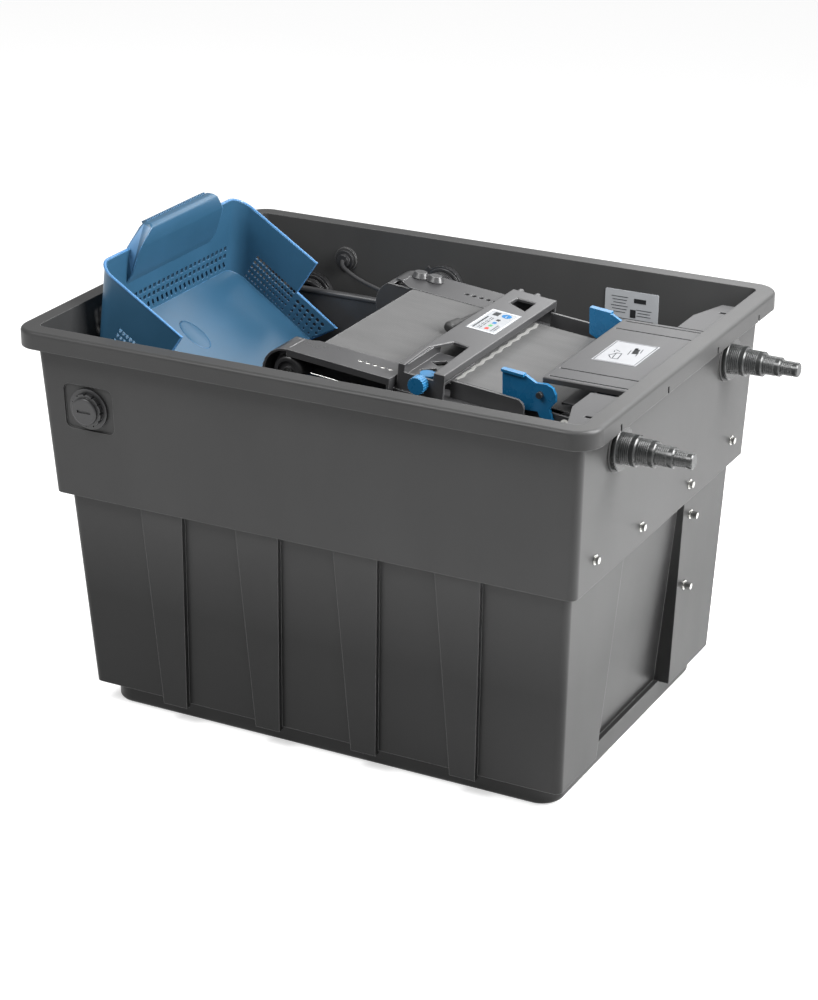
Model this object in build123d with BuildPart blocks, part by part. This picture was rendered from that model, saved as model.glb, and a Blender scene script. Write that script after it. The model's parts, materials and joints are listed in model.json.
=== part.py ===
"""Flow-through pond filter: an open tub with a motor-driven belt screen, a tilted debris basket,
two stepped hose tails and foam cartridges.  Millimetres, +Z up, origin at the centre of the tub's base,
+X towards the hose tails, -Y towards the front."""
from build123d import *
from math import atan, cos, hypot, pi, radians, sin, tan
import os

os.makedirs("parts", exist_ok=True)

# ---------------------------------------------------------------- tub
TUB_LENGTH = 788.0        # over the rim, along X
TUB_WIDTH = 590.0         # over the rim, along Y
TUB_HEIGHT = 526.8
WALL = 4.0
RIM_DEPTH = 22.9          # height of the rim's outer skirt
RIM_CORNER = 32.0
BAND_FOOT = 303.5         # the upper band ends here in a ledge
BODY_FOOT = 29.8          # the lower body ends here, over the plinth
TAPER = 0.0493            # every wall leans in by this much per mm of height
BAND_INSET = 21.3         # rim edge to band wall, at the foot of the rim
BODY_INSET = 44.4         # rim edge to lower wall, at BAND_FOOT
PLINTH_INSET = 72.3
RECESS_TOP, RECESS_FOOT = 8.0, 22.0     # depth of the end walls' recess
RIM_FOOT = TUB_HEIGHT - RIM_DEPTH

# ---------------------------------------------------------------- fittings in the walls
TAIL_Y, TAIL_Z = 170.0, 465.0           # the two hose tails' axes, along X
TAIL_SEAT = 373.0                       # outer face of their seats
TAIL_STEPS = ((19.0, 399.0), (16.0, 421.5), (12.5, 444.0), (9.5, 466.5))   # radius, end of step
BOLTS = ((-212.0, 338.0), (-75.5, 327.0), (75.5, 327.0), (212.0, 338.0))   # y, z on the right band
STUDS = ((122.5, 265.0), (122.5, 164.5))                                   # y, z on the lower right wall
OUTLET_X, OUTLET_Z = -300.0, 428.0      # round outlet in the front wall
GLAND_X, GLAND_Z = -235.0, 478.5        # cable gland in the back wall
REAR_PORTS = ((-284.0, 423.0), (-81.0, 462.0))   # x, z of the two ring fittings in the back wall

# ---------------------------------------------------------------- screen deck, a frame of its own
DECK_X, DECK_Z = -46.0, 507.8           # where the belt comes over the nose roller
SLOPE = radians(5.8)                    # the deck runs down towards +X
DECK_LENGTH = 330.0                     # nose roller to tail roller
BELT_HALF = 117.0
BELT_T = 1.2
NOSE_R, TAIL_R = 9.0, 14.0              # outside of the belt on each roller
RUN_GAP = 0.4                           # between roller and belt
WEB_Y, WEB_T = 118.5, 3.0               # side frames' inner face and thickness
FLANK_Y = 172.0                         # outer edge of the side frames
DRIVE_U, DRIVE_W = -25.0, -29.3         # drive shaft
ARCH_R = 32.3                           # round nose of each side frame
SHELF_W = -12.6                         # shelf that carries the bridge
BRIDGE_U = (121.0, 184.0)
BRIDGE_Y, BRIDGE_W = 157.0, 20.5
LATCH_X, LATCH_Z = 251.0, 495.0         # latch pivot

# ---------------------------------------------------------------- lead
LEAD_R = 2.8
COIL_MID = 6 * 2 * LEAD_R               # radius at the middle of the coil's turns: 12 diameters across
COIL_X, COIL_Y = -132.0, 296.0


def save(part, name):
    part.label = name
    export_step(part, f"parts/{name}.step")


def level(z):
    """Horizontal sketch plane."""
    return Plane.XY.offset(z)


def side_view(y):
    """Sketch x, y are world X, Z; extrudes towards -Y."""
    return Plane(origin=(0, y, 0), x_dir=(1, 0, 0), z_dir=(0, -1, 0))


def end_view(x):
    """Sketch x, y are world Y, Z; extrudes towards +X."""
    return Plane(origin=(x, 0, 0), x_dir=(0, 1, 0), z_dir=(1, 0, 0))


def deck_point(u, y, w):
    """World point of a place on the deck: u down the slope, w square off it."""
    return (DECK_X + u * cos(SLOPE) + w * sin(SLOPE), y, DECK_Z - u * sin(SLOPE) + w * cos(SLOPE))


def deck_view(y):
    """Sketch x, y are deck u, w; extrudes towards -Y."""
    return Plane(origin=deck_point(0, y, 0), x_dir=(cos(SLOPE), 0, -sin(SLOPE)), z_dir=(0, -1, 0))


def deck_level(w):
    """Sketch x, y are deck u and world Y; extrudes away from the deck."""
    return Plane(
        origin=deck_point(0, 0, w), x_dir=(cos(SLOPE), 0, -sin(SLOPE)), z_dir=(sin(SLOPE), 0, cos(SLOPE))
    )


def deck_section(u):
    """Sketch x, y are world Y and deck w; extrudes down the slope."""
    return Plane(origin=deck_point(u, 0, 0), x_dir=(0, 1, 0), z_dir=(cos(SLOPE), 0, -sin(SLOPE)))


def inset_at(z):
    """Rim edge to the tub's outer wall at a height."""
    if z > BAND_FOOT:
        return BAND_INSET + (RIM_FOOT - z) * TAPER
    return BODY_INSET + (BAND_FOOT - z) * TAPER


def wall_plane(side, along, z):
    """Plane on the tub's outer wall, its z axis straight out of the leaning wall."""
    out_x, out_y = {"right": (1, 0), "left": (-1, 0), "front": (0, -1), "back": (0, 1)}[side]
    lean = atan(TAPER)
    reach = (TUB_LENGTH if out_x else TUB_WIDTH) / 2 - inset_at(z)
    origin = (out_x * reach, along, z) if out_x else (along, out_y * reach, z)
    return Plane(
        origin=origin,
        x_dir=(-out_y, out_x, 0),
        z_dir=(out_x * cos(lean), out_y * cos(lean), -sin(lean)),
    )


def tapered_block(z_low, inset_low, z_high, inset_high, corner, squeeze=(0, 0), mode=Mode.ADD):
    """Block with leaning sides; squeeze takes more off its two ends, at the foot and at the top."""
    outlines = []
    for z, inset, more in ((z_low, inset_low, squeeze[0]), (z_high, inset_high, squeeze[1])):
        with BuildSketch(level(z)) as outline:
            RectangleRounded(TUB_LENGTH - 2 * (inset + more), TUB_WIDTH - 2 * inset, corner)
        outlines.append(outline.sketch)
    loft(outlines, ruled=True, mode=mode)


def disc(plane, radius, height, bore=0.0, mode=Mode.ADD):
    """Round plate or ring that stands on a plane."""
    with BuildSketch(plane) as outline:
        Circle(radius)
        if bore:
            Circle(bore, mode=Mode.SUBTRACT)
    extrude(outline.sketch, amount=height, mode=mode)


def hexagon(plane, across_flats, height, bore=0.0):
    with BuildSketch(plane) as outline:
        RegularPolygon(across_flats / 2, 6, major_radius=False)
        if bore:
            Circle(bore, mode=Mode.SUBTRACT)
    extrude(outline.sketch, amount=height)


def plate(plane, points, thickness, mode=Mode.ADD):
    """Flat plate with a cornered outline."""
    with BuildSketch(plane) as outline:
        with BuildLine():
            Polyline(points, close=True)
        make_face()
    extrude(outline.sketch, amount=thickness, mode=mode)


def bar(plane, x_low, x_high, y_low, y_high, thickness, mode=Mode.ADD):
    """Square-cornered plate between two corners of a sketch plane."""
    plate(plane, [(x_low, y_low), (x_high, y_low), (x_high, y_high), (x_low, y_high)], thickness, mode)


# ================================================================ tub
def end_recesses():
    """Sunk panel in each end wall, deeper towards the foot, with one slanted edge."""
    for sign in (1, -1):
        outlines = []
        for z, depth, slant in ((BODY_FOOT - 6, RECESS_FOOT, 130.6), (BAND_FOOT, RECESS_TOP, 88.6)):
            x_wall = TUB_LENGTH / 2 - inset_at(z) - depth
            with BuildSketch(level(z)) as outline:
                with BuildLine():
                    Polyline(
                        [
                            (sign * x_wall, -sign * slant),
                            (sign * 400, -sign * slant),
                            (sign * 400, sign * 99),
                            (sign * x_wall, sign * 99),
                        ],
                        close=True,
                    )
                make_face()
            outlines.append(outline.sketch)
        loft(outlines, ruled=True, mode=Mode.SUBTRACT)


def long_wall_ribs():
    """Four raised ribs on each long wall, narrower at the foot, that run down over the plinth."""
    middle = (BAND_FOOT + BODY_FOOT) / 2
    up = (BAND_FOOT - middle) / cos(atan(TAPER))
    down = up + 5
    for side in ("front", "back"):
        for x in (-207.75, -69.25, 69.25, 207.75):
            outline = [(-17.5, -down), (17.5, -down), (30.75, up + 1), (-30.75, up + 1)]
            plate(wall_plane(side, x, middle).offset(-2), outline, 9)


def rim_slots():
    """Four drain slots in the right-hand skirt, over the bolts."""
    for y in (-214, -77.5, 77.5, 214):
        bar(end_view(TUB_LENGTH / 2 - 6), y - 2.5, y + 2.5, RIM_FOOT - 1, RIM_FOOT + 9, 10, Mode.SUBTRACT)


BODY_TOP_INSET = BODY_INSET
BODY_LOW_INSET = inset_at(BODY_FOOT)

with BuildPart() as tub:
    tapered_block(BAND_FOOT, inset_at(BAND_FOOT + 0.001), RIM_FOOT + 6, BAND_INSET, 10)
    tapered_block(BODY_FOOT, BODY_LOW_INSET, BAND_FOOT, BODY_TOP_INSET, 10)
    end_recesses()
    with BuildSketch(level(0)):
        RectangleRounded(TUB_LENGTH - 2 * PLINTH_INSET, TUB_WIDTH - 2 * PLINTH_INSET, 30)
    extrude(amount=BODY_FOOT + 1)
    fillet(tub.edges().group_by(Axis.Z)[0], 6)
    long_wall_ribs()
    with BuildSketch(level(RIM_FOOT)):
        RectangleRounded(TUB_LENGTH, TUB_WIDTH, RIM_CORNER)
    extrude(amount=RIM_DEPTH)
    with BuildSketch(level(RIM_FOOT)):
        RectangleRounded(TUB_LENGTH - 2 * WALL, TUB_WIDTH - 2 * WALL, RIM_CORNER - WALL)
        RectangleRounded(TUB_LENGTH - 2 * BAND_INSET, TUB_WIDTH - 2 * BAND_INSET, 10, mode=Mode.SUBTRACT)
    extrude(amount=RIM_DEPTH - WALL, mode=Mode.SUBTRACT)
    for y in (TAIL_Y, -TAIL_Y):
        with BuildSketch(end_view(TAIL_SEAT - 10)):
            with Locations((y, TAIL_Z)):
                Circle(30)
        extrude(amount=10)
    with BuildSketch(side_view(275)):
        with Locations((GLAND_X, GLAND_Z)):
            Circle(17)
    extrude(amount=9)
    # the hollow: plinth, lower body, upper band
    tapered_block(
        WALL, PLINTH_INSET + WALL, BODY_FOOT + WALL, PLINTH_INSET + WALL, 26, (13, 13), Mode.SUBTRACT
    )
    tapered_block(
        BODY_FOOT + WALL, BODY_LOW_INSET + WALL, BAND_FOOT + WALL, BODY_TOP_INSET + WALL, 8,
        (RECESS_FOOT, RECESS_TOP), Mode.SUBTRACT,
    )
    inner_foot = BAND_FOOT + WALL
    inner_top = TUB_HEIGHT + 2
    tapered_block(
        inner_foot, inset_at(inner_foot) + WALL, inner_top, inset_at(inner_top) + WALL, 10,
        mode=Mode.SUBTRACT,
    )
    # flat seats inside, where round fittings pass through the leaning wall
    for y in (TAIL_Y, -TAIL_Y):
        with BuildSketch(end_view(TAIL_SEAT - 10)):
            with Locations((y, TAIL_Z)):
                Circle(30)
        extrude(amount=8)
        with BuildSketch(end_view(TAIL_SEAT - 14)):
            with Locations((y, TAIL_Z)):
                Circle(17.2)
        extrude(amount=20, mode=Mode.SUBTRACT)
    with BuildSketch(side_view(273)):
        with Locations((GLAND_X, GLAND_Z)):
            Circle(17)
    extrude(amount=7)
    with BuildSketch(side_view(280)):
        with Locations((GLAND_X, GLAND_Z)):
            Circle(8.2)
    extrude(amount=20, mode=Mode.SUBTRACT)
    # rounded-square recess around the front outlet, with a thick pad behind it
    with BuildSketch(wall_plane("front", OUTLET_X, OUTLET_Z).offset(-10)):
        RectangleRounded(76, 65, 10)
    extrude(amount=7)
    with BuildSketch(wall_plane("front", OUTLET_X, OUTLET_Z).offset(-3)):
        RectangleRounded(72, 60, 9)
    extrude(amount=6, mode=Mode.SUBTRACT)
    disc(wall_plane("front", OUTLET_X, OUTLET_Z).offset(-16), 20.2, 20, mode=Mode.SUBTRACT)
    for x, z in REAR_PORTS:
        disc(wall_plane("back", x, z).offset(-8), 22.2, 14, mode=Mode.SUBTRACT)
    for y, z in BOLTS + STUDS:
        disc(wall_plane("right", y, z).offset(-28), 2.7, 34, mode=Mode.SUBTRACT)
    rim_slots()
    top_edges = tub.edges().group_by(Axis.Z)[-1]
    fillet([e for e in top_edges if max(abs((e @ 0.5).X) / 394, abs((e @ 0.5).Y) / 295) > 0.955], 5)
save(tub.part, "tub")

with BuildPart() as rating_plate:
    with BuildSketch(wall_plane("back", 196, 476).offset(-WALL - 1.2)):
        RectangleRounded(76, 42, 2)
    extrude(amount=1.2)
save(rating_plate.part, "rating_plate")


# ================================================================ hose tails
def hose_tail(sign, name):
    """Stepped tail, closed at its small end, on a round flange, with a spigot through the wall."""
    skin = 2.5
    outer = [(TAIL_SEAT - 20, 0), (TAIL_SEAT - 20, 16.8), (TAIL_SEAT + 1.5, 16.8), (TAIL_SEAT + 1.5, 27)]
    outer += [(TAIL_SEAT + 6, 27), (TAIL_SEAT + 6, TAIL_STEPS[0][0])]
    for index, (radius, end) in enumerate(TAIL_STEPS):
        outer += [(end - 1.2, radius), (end, radius - 1.2)]
        if index + 1 < len(TAIL_STEPS):
            outer += [(end, TAIL_STEPS[index + 1][0])]
    outer += [(TAIL_STEPS[-1][1], 0)]
    inner = [(TAIL_SEAT - 21, 0), (TAIL_SEAT - 21, 14)]
    for radius, end in TAIL_STEPS:
        inner += [(inner[-1][0], min(14, radius - skin)), (end - skin, min(14, radius - skin))]
    inner += [(TAIL_STEPS[-1][1] - skin, 0)]
    inner = [p for i, p in enumerate(inner) if i == 0 or p != inner[i - 1]]
    with BuildPart() as tail:
        axis_plane = Plane(origin=(0, sign * TAIL_Y, TAIL_Z), x_dir=(1, 0, 0), z_dir=(0, -1, 0))
        with BuildSketch(axis_plane):
            with BuildLine():
                Polyline(outer, close=True)
            make_face()
            with BuildLine():
                Polyline(inner, close=True)
            make_face(mode=Mode.SUBTRACT)
        revolve(axis=Axis((0, sign * TAIL_Y, TAIL_Z), (1, 0, 0)))
    save(tail.part, name)


hose_tail(-1, "near_hose_tail")
hose_tail(1, "far_hose_tail")

with BuildPart() as tail_seals:
    for y in (TAIL_Y, -TAIL_Y):
        with BuildSketch(end_view(TAIL_SEAT)):
            with Locations((y, TAIL_Z)):
                Circle(25)
                Circle(17.2, mode=Mode.SUBTRACT)
        extrude(amount=1.5)
save(tail_seals.part, "tail_seals")

with BuildPart() as tail_lock_nuts:
    for y in (TAIL_Y, -TAIL_Y):
        with BuildSketch(end_view(TAIL_SEAT - 18)):
            with Locations((y, TAIL_Z)):
                RegularPolygon(25, 6, major_radius=False)
                Circle(17, mode=Mode.SUBTRACT)
        extrude(amount=8)
save(tail_lock_nuts.part, "tail_lock_nuts")


# ================================================================ inlet chamber behind the right wall
CHAMBER_X, CHAMBER_Y = 318.0, 235.0
CHAMBER_FOOT, CHAMBER_TOP = 318.0, 510.5
COVER_X, COVER_Y, COVER_Z = 250.0, 119.0, 514.5
inner_lean = wall_plane("right", 0, 400).offset(-WALL - 0.4)


def chamber_plan(shrink):
    """Plan of the chamber: chamfered front corners, open towards the tub's end wall."""
    front, half = CHAMBER_X + shrink, CHAMBER_Y - shrink
    right = [(front, 182), (front + 18, half), (400, half)]
    return right + [(x, -y) for x, y in reversed(right)]


with BuildPart() as inlet_chamber:
    plate(level(CHAMBER_FOOT), chamber_plan(0), CHAMBER_TOP - CHAMBER_FOOT)
    plate(level(CHAMBER_FOOT + 3), chamber_plan(3), CHAMBER_TOP - CHAMBER_FOOT - 6, Mode.SUBTRACT)
    bar(level(CHAMBER_TOP - 4), CHAMBER_X - 1, 400, -131, 131, 6, Mode.SUBTRACT)
    bar(level(484), CHAMBER_X - 1, CHAMBER_X + 4, -112, 112, 40, Mode.SUBTRACT)     # spill opening
    bar(level(481), 272, CHAMBER_X + 1, -112, 112, 3)                               # spill lip
    bar(level(CHAMBER_FOOT + 3), 346, 400, -CHAMBER_Y + 3, CHAMBER_Y - 3, 28)       # bolted foot
    for y in (-205, 205):
        bar(level(CHAMBER_TOP - 4), 344, 358, y - 3, y + 3, 6, Mode.SUBTRACT)
    for y, z in BOLTS:
        disc(wall_plane("right", y, z).offset(-30), 2.7, 40, mode=Mode.SUBTRACT)
    for sign in (1, -1):       # short rack of teeth below each deck's inner edge
        for step in range(5):
            bar(level(470 + 8 * step), CHAMBER_X - 5, CHAMBER_X, sign * 152, sign * 140, 3.5)
    split(bisect_by=inner_lean, keep=Keep.BOTTOM)
save(inlet_chamber.part, "inlet_chamber")

with BuildPart() as inlet_cover:
    bar(level(COVER_Z - 7), COVER_X, 366, -COVER_Y, COVER_Y, 7)
    bar(level(COVER_Z - 8), COVER_X + 3, 367, -COVER_Y + 3, COVER_Y - 3, 4, Mode.SUBTRACT)
    fillet(inlet_cover.edges().group_by(Axis.Z)[-1], 1.5)
    for y in (-111, -81, 81, 111):
        bar(level(COVER_Z - 1.6), COVER_X + 5, 360, y - 1.6, y + 1.6, 3, Mode.SUBTRACT)
save(inlet_cover.part, "inlet_cover")

with BuildPart() as cover_label:
    bar(level(COVER_Z), 275.5, 333, -37, 39, 0.3)
save(cover_label.part, "cover_label")


NUT_T = 4.0


def nut_seat(z):
    """Depth of the inner face behind a place on the lower right wall, with a little air."""
    share = (BAND_FOOT - z) / (BAND_FOOT - BODY_FOOT)
    return WALL + RECESS_TOP + share * (RECESS_FOOT - RECESS_TOP) + 0.6


def wall_bolts(places, head_out, name):
    """Hex bolts with a washer outside, through the wall; each place ends with its reach inwards."""
    with BuildPart() as bolts:
        for y, z, reach in places:
            wall = wall_plane("right", y, z)
            disc(wall, 6.5, 1)
            hexagon(wall.offset(1), 8, head_out)
            disc(wall.offset(-reach), 2.5, reach)
    save(bolts.part, name)


wall_bolts([(y, z, 26) for y, z in BOLTS], 4.5, "chamber_bolts")
wall_bolts([(y, z, nut_seat(z) + NUT_T + 1.5) for y, z in STUDS], 9, "baffle_studs")

with BuildPart() as baffle_nuts:
    for y, z in STUDS:
        hexagon(wall_plane("right", y, z).offset(-nut_seat(z) - NUT_T), 8, NUT_T, 2.5)
save(baffle_nuts.part, "baffle_nuts")


# ================================================================ outlet and rear ports
def round_fitting(side, along, z, seat, name):
    """Wall fitting: a ring on the seat, its tube through the wall."""
    wall = wall_plane(side, along, z)
    with BuildPart() as fitting:
        disc(wall.offset(seat), 27, 4, 17)
        disc(wall.offset(-16), 20, 16 + seat, 17)
        fillet(fitting.edges().filter_by(GeomType.CIRCLE).sort_by(Axis(wall.origin, wall.z_dir))[-1], 1.5)
    save(fitting.part, name)


def port_nut(side, along, z, start, name):
    """Round lock nut with six finger ribs on the inside of the wall."""
    wall = wall_plane(side, along, z)
    with BuildPart() as nut:
        disc(wall.offset(start), 28, 6, 20.2)
        for step in range(6):
            with BuildSketch(wall.offset(start)):
                with PolarLocations(28.5, 1, start_angle=60 * step):
                    Rectangle(5, 7)
            extrude(amount=6)
    save(nut.part, name)


outlet_wall = wall_plane("front", OUTLET_X, OUTLET_Z)
round_fitting("front", OUTLET_X, OUTLET_Z, -3, "outlet_fitting")
port_nut("front", OUTLET_X, OUTLET_Z, -16.2, "outlet_nut")

with BuildPart() as outlet_cap:
    disc(outlet_wall.offset(1.3), 22, 6)
    disc(outlet_wall.offset(7.3), 18, 4)
    outwards = Axis(outlet_wall.origin, outlet_wall.z_dir)
    fillet(outlet_cap.edges().filter_by(GeomType.CIRCLE).sort_by(outwards)[-1], 2)
    disc(outlet_wall.offset(-12), 16.6, 13.3)
    for step in range(12):
        with BuildSketch(outlet_wall.offset(1.3)):
            with PolarLocations(22, 1, start_angle=30 * step):
                Circle(1.6)
        extrude(amount=6, mode=Mode.SUBTRACT)
    with BuildSketch(outlet_wall.offset(9.3)):
        Rectangle(20, 4)
    extrude(amount=3, mode=Mode.SUBTRACT)
save(outlet_cap.part, "outlet_cap")


with BuildPart() as rear_ports:      # closed ports: flange and blank end outside, threaded ring inside
    for x, z in REAR_PORTS:
        wall = wall_plane("back", x, z)
        disc(wall, 30, 5)
        disc(wall.offset(-26), 22, 26, 18)
        for ring in range(3):
            disc(wall.offset(-25 + 4 * ring), 23.2, 2, 18)
save(rear_ports.part, "rear_ports")

with BuildPart() as rear_ring_nuts:  # inside, each with a small tab
    for x, z in REAR_PORTS:
        wall = wall_plane("back", x, z)
        disc(wall.offset(-12), 30, 7.2, 23.4)
        disc(wall.offset(-13.5), 27, 1.5, 23.4)
        with BuildSketch(wall.offset(-12)):
            with Locations((22, 22)):
                Rectangle(8, 8, rotation=45)
        extrude(amount=3)
save(rear_ring_nuts.part, "rear_ring_nuts")

# ================================================================ debris basket, tipped towards the screen
BASKET_Y, SHEET = 169.0, 2.5
BACK_TOP, BACK_FOOT = (-346.6, 580.2), (-360.5, 477.1)
LIP, NOTCH, TOE_TOP, TOE_FOOT = (-224.6, 502.9), (-256.6, 457.0), (-195.3, 414.7), (-237.8, 391.6)


def along_edge(start, end, share, rise):
    """Point on an edge of the basket's side, and a way square off it."""
    run = hypot(end[0] - start[0], end[1] - start[1])
    ax, az = (end[0] - start[0]) / run, (end[1] - start[1]) / run
    return (start[0] + ax * share * run - az * rise, start[1] + az * share * run + ax * rise)


with BuildPart() as debris_basket:
    plate(side_view(BASKET_Y), [BACK_TOP, LIP, NOTCH, TOE_TOP, TOE_FOOT, BACK_FOOT], 2 * BASKET_Y)
    floor = [along_edge(BACK_FOOT, TOE_FOOT, share, SHEET) for share in (0.0, 1.3)]
    back = [along_edge(BACK_FOOT, BACK_TOP, share, -SHEET) for share in (0.0, 1.3)]
    run_in = along_edge(BACK_FOOT, TOE_FOOT, SHEET / 150, SHEET)
    plate(
        side_view(BASKET_Y - SHEET),
        [run_in, back[1], (-100, 640), (-100, 300), floor[1]], 2 * (BASKET_Y - SHEET), Mode.SUBTRACT,
    )
    wedge = [(-350.6, 556), (-347.5, 584), (-341, 606), (-337, 611.4), (-326, 611.4), (-321.5, 607)]
    wedge += [(-327, 585), (-340, 548), (-353, 530)]
    plate(side_view(76), wedge, 152)
    with BuildSketch(side_view(BASKET_Y + 2)):       # drain holes in both sides, smaller towards the floor
        for row in range(4):
            for step in range(13):
                with Locations(along_edge(BACK_FOOT, TOE_FOOT, 0.14 + step * 0.062, 12 + row * 8)):
                    Circle(1.4 + 0.35 * row)
    extrude(amount=2 * BASKET_Y + 4, mode=Mode.SUBTRACT)
    with BuildSketch(end_view(-370)):                # square ones in the back
        with Locations((0, 493)):
            with GridLocations(12, 10, 25, 1):
                Rectangle(6, 6)
    extrude(amount=30, mode=Mode.SUBTRACT)
save(debris_basket.part, "debris_basket")


# ================================================================ side frames of the screen
TUBE_PLACES = ((60, -10), (165, -14), (262, -18))      # deck u, w


def side_frame(sign, name):
    """Web, sloping flank, round nose and the shelf under the bridge."""
    face = WEB_Y if sign < 0 else WEB_Y + WEB_T
    view = deck_view(sign * face)
    with BuildPart() as frame:
        with BuildSketch(view):
            with BuildLine():
                lower = [(DRIVE_U, -50), (345, -50), (345, -4), (118, -4)]
                Polyline(lower + [(118, -1.5), (-9, -1.5), (DRIVE_U, 0)], close=True)
            make_face()
            with Locations((DRIVE_U, DRIVE_W)):
                Circle(ARCH_R - 3)
            with Locations((0, -NOSE_R), (DECK_LENGTH, -TAIL_R)):
                Circle(6, mode=Mode.SUBTRACT)
            with Locations((DRIVE_U, DRIVE_W)):
                Circle(5.1, mode=Mode.SUBTRACT)
            with Locations(*TUBE_PLACES):
                Circle(2.6, mode=Mode.SUBTRACT)
        extrude(amount=WEB_T)
        y_in, y_out = sign * (BELT_HALF + 0.5), sign * FLANK_Y
        flank = [(y_in, 0.8), (y_out, 3.3), (y_out, -5.5), (y_out - sign * 3, -5.5), (y_out - sign * 3, 0.2)]
        flank += [(y_in, -1.7)]
        with BuildSketch(deck_section(DRIVE_U)):
            with BuildLine():
                Polyline(flank, close=True)
            make_face()
        extrude(amount=118 - DRIVE_U)
        y_arch = FLANK_Y if sign > 0 else -WEB_Y
        with BuildSketch(deck_view(y_arch)):
            with Locations((DRIVE_U, DRIVE_W)):
                Circle(ARCH_R)
                Circle(ARCH_R - 3, mode=Mode.SUBTRACT)
                with Locations((100, 0)):
                    Rectangle(200, 200, mode=Mode.SUBTRACT)
        extrude(amount=FLANK_Y - WEB_Y)
        plate(deck_level(-1.5), [(-9, y_in), (-70, y_in), (-70, sign * 158)], 20, Mode.SUBTRACT)
        shelf_low, shelf_high = sorted((sign * (WEB_Y + WEB_T), sign * 160.0))
        bar(deck_level(SHELF_W - 3), 118, 290, shelf_low, shelf_high, 3)
        clear_low, clear_high = sorted((sign * (WEB_Y + WEB_T), sign * 126.0))
        for u, _ in TUBE_PLACES[1:]:                                 # room for the screw heads
            bar(deck_level(SHELF_W - 4), u - 5.5, u + 5.5, clear_low, clear_high, 5, Mode.SUBTRACT)
        swing_low, swing_high = sorted((sign * (WEB_Y + WEB_T), sign * 129.0))
        bar(deck_level(SHELF_W - 4), 256, 300, swing_low, swing_high, 5, Mode.SUBTRACT)   # latch's swing
        bar(deck_section(115), *sorted((sign * WEB_Y, sign * FLANK_Y)), SHELF_W - 3, 0, 3)
        with BuildSketch(deck_level(-10)):
            for step in range(5):
                with Locations((62.6 + 10.3 * step, sign * 143)):
                    Circle(3.4)
        extrude(amount=20, mode=Mode.SUBTRACT)
    save(frame.part, name)


side_frame(-1, "near_side_frame")
side_frame(1, "far_side_frame")

PLATE_TOP = 9.7
with BuildPart() as side_plates:
    for y in (-138.5, 141.5):
        with BuildSketch(deck_view(y)) as outline:
            with Locations((235, (SHELF_W + PLATE_TOP) / 2)):
                Rectangle(98, PLATE_TOP - SHELF_W)
            fillet(outline.vertices().group_by(Axis.Y)[-1].sort_by(Axis.X)[-1], 12)
        extrude(amount=3)
save(side_plates.part, "side_plates")

with BuildPart() as cross_tubes:
    for place in TUBE_PLACES:
        with BuildSketch(deck_view(WEB_Y)):
            with Locations(place):
                Circle(5)
                Circle(2.5, mode=Mode.SUBTRACT)
        extrude(amount=2 * WEB_Y)
save(cross_tubes.part, "cross_tubes")

with BuildPart() as frame_screws:
    for place in TUBE_PLACES:
        for head_y, shank_y in ((WEB_Y + WEB_T + 2.5, WEB_Y + WEB_T), (-WEB_Y - WEB_T, -WEB_Y + 12)):
            for y, radius, length in ((head_y, 4.5, 2.5), (shank_y, 2.5, WEB_T + 12)):
                with BuildSketch(deck_view(y)):
                    with Locations(place):
                        Circle(radius)
                extrude(amount=length)
save(frame_screws.part, "frame_screws")

ROLLERS = ((0.0, -NOSE_R), (DECK_LENGTH, -TAIL_R))
with BuildPart() as roller_bushes:
    for place in ROLLERS:
        for y in (WEB_Y + WEB_T, -WEB_Y):
            with BuildSketch(deck_view(y)):
                with Locations(place):
                    Circle(6)
                    Circle(3.06, mode=Mode.SUBTRACT)
            extrude(amount=WEB_T)
save(roller_bushes.part, "roller_bushes")

# ================================================================ belt and what carries it
with BuildPart() as screen_belt:
    for shrink, mode in ((0, Mode.ADD), (BELT_T, Mode.SUBTRACT)):
        with BuildSketch(deck_view(BELT_HALF)):
            with Locations(ROLLERS[0]):
                Circle(NOSE_R - shrink)
            with Locations(ROLLERS[1]):
                Circle(TAIL_R - shrink)
            make_hull()
        extrude(amount=2 * BELT_HALF, mode=mode)
save(screen_belt.part, "screen_belt")

SEAM_U, SEAM_TEETH = 176.0, 18
with BuildPart() as belt_seam:       # welded joint across the belt, a low zigzag
    pitch = 2 * (BELT_HALF - 3) / SEAM_TEETH
    edge = [(SEAM_U + 3 * (step % 2), -BELT_HALF + 3 + pitch * step) for step in range(SEAM_TEETH + 1)]
    plate(deck_level(0), edge + [(u + 5, y) for u, y in reversed(edge)], 0.5)
save(belt_seam.part, "belt_seam")

with BuildPart() as belt_support:    # slotted plate under the top run
    bar(deck_level(-4.5), 14, 306, -112, 112, 2.4)
    with BuildSketch(deck_level(-5)):
        with Locations((160, 0)):
            with GridLocations(22, 26, 12, 8):
                Rectangle(15, 18)
    extrude(amount=4, mode=Mode.SUBTRACT)
save(belt_support.part, "belt_support")


def roller(place, radius, reach, name):
    """Roller with its axle, which turns in the bushes."""
    with BuildPart() as part:
        for size, half in ((radius, BELT_HALF - 1), (3.0, reach)):
            with BuildSketch(deck_view(half)):
                with Locations(place):
                    Circle(size)
            extrude(amount=2 * half)
    save(part.part, name)


roller(ROLLERS[0], NOSE_R - BELT_T - RUN_GAP, 128.5, "nose_roller")
roller(ROLLERS[1], TAIL_R - BELT_T - RUN_GAP, 122.5, "tail_roller")

NOSE_PULLEY_R, DRIVE_PULLEY_R, PULLEY_Y, PULLEY_T = 6.0, 7.2, 123.5, 5.0
DRIVE = (DRIVE_U, DRIVE_W)
SHAFT_R = 5.0


def pulley(place, radius, axle, name):
    with BuildPart() as part:
        with BuildSketch(deck_view(PULLEY_Y + PULLEY_T)):
            with Locations(place):
                Circle(radius)
                Circle(axle, mode=Mode.SUBTRACT)
        extrude(amount=PULLEY_T)
    save(part.part, name)


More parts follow.
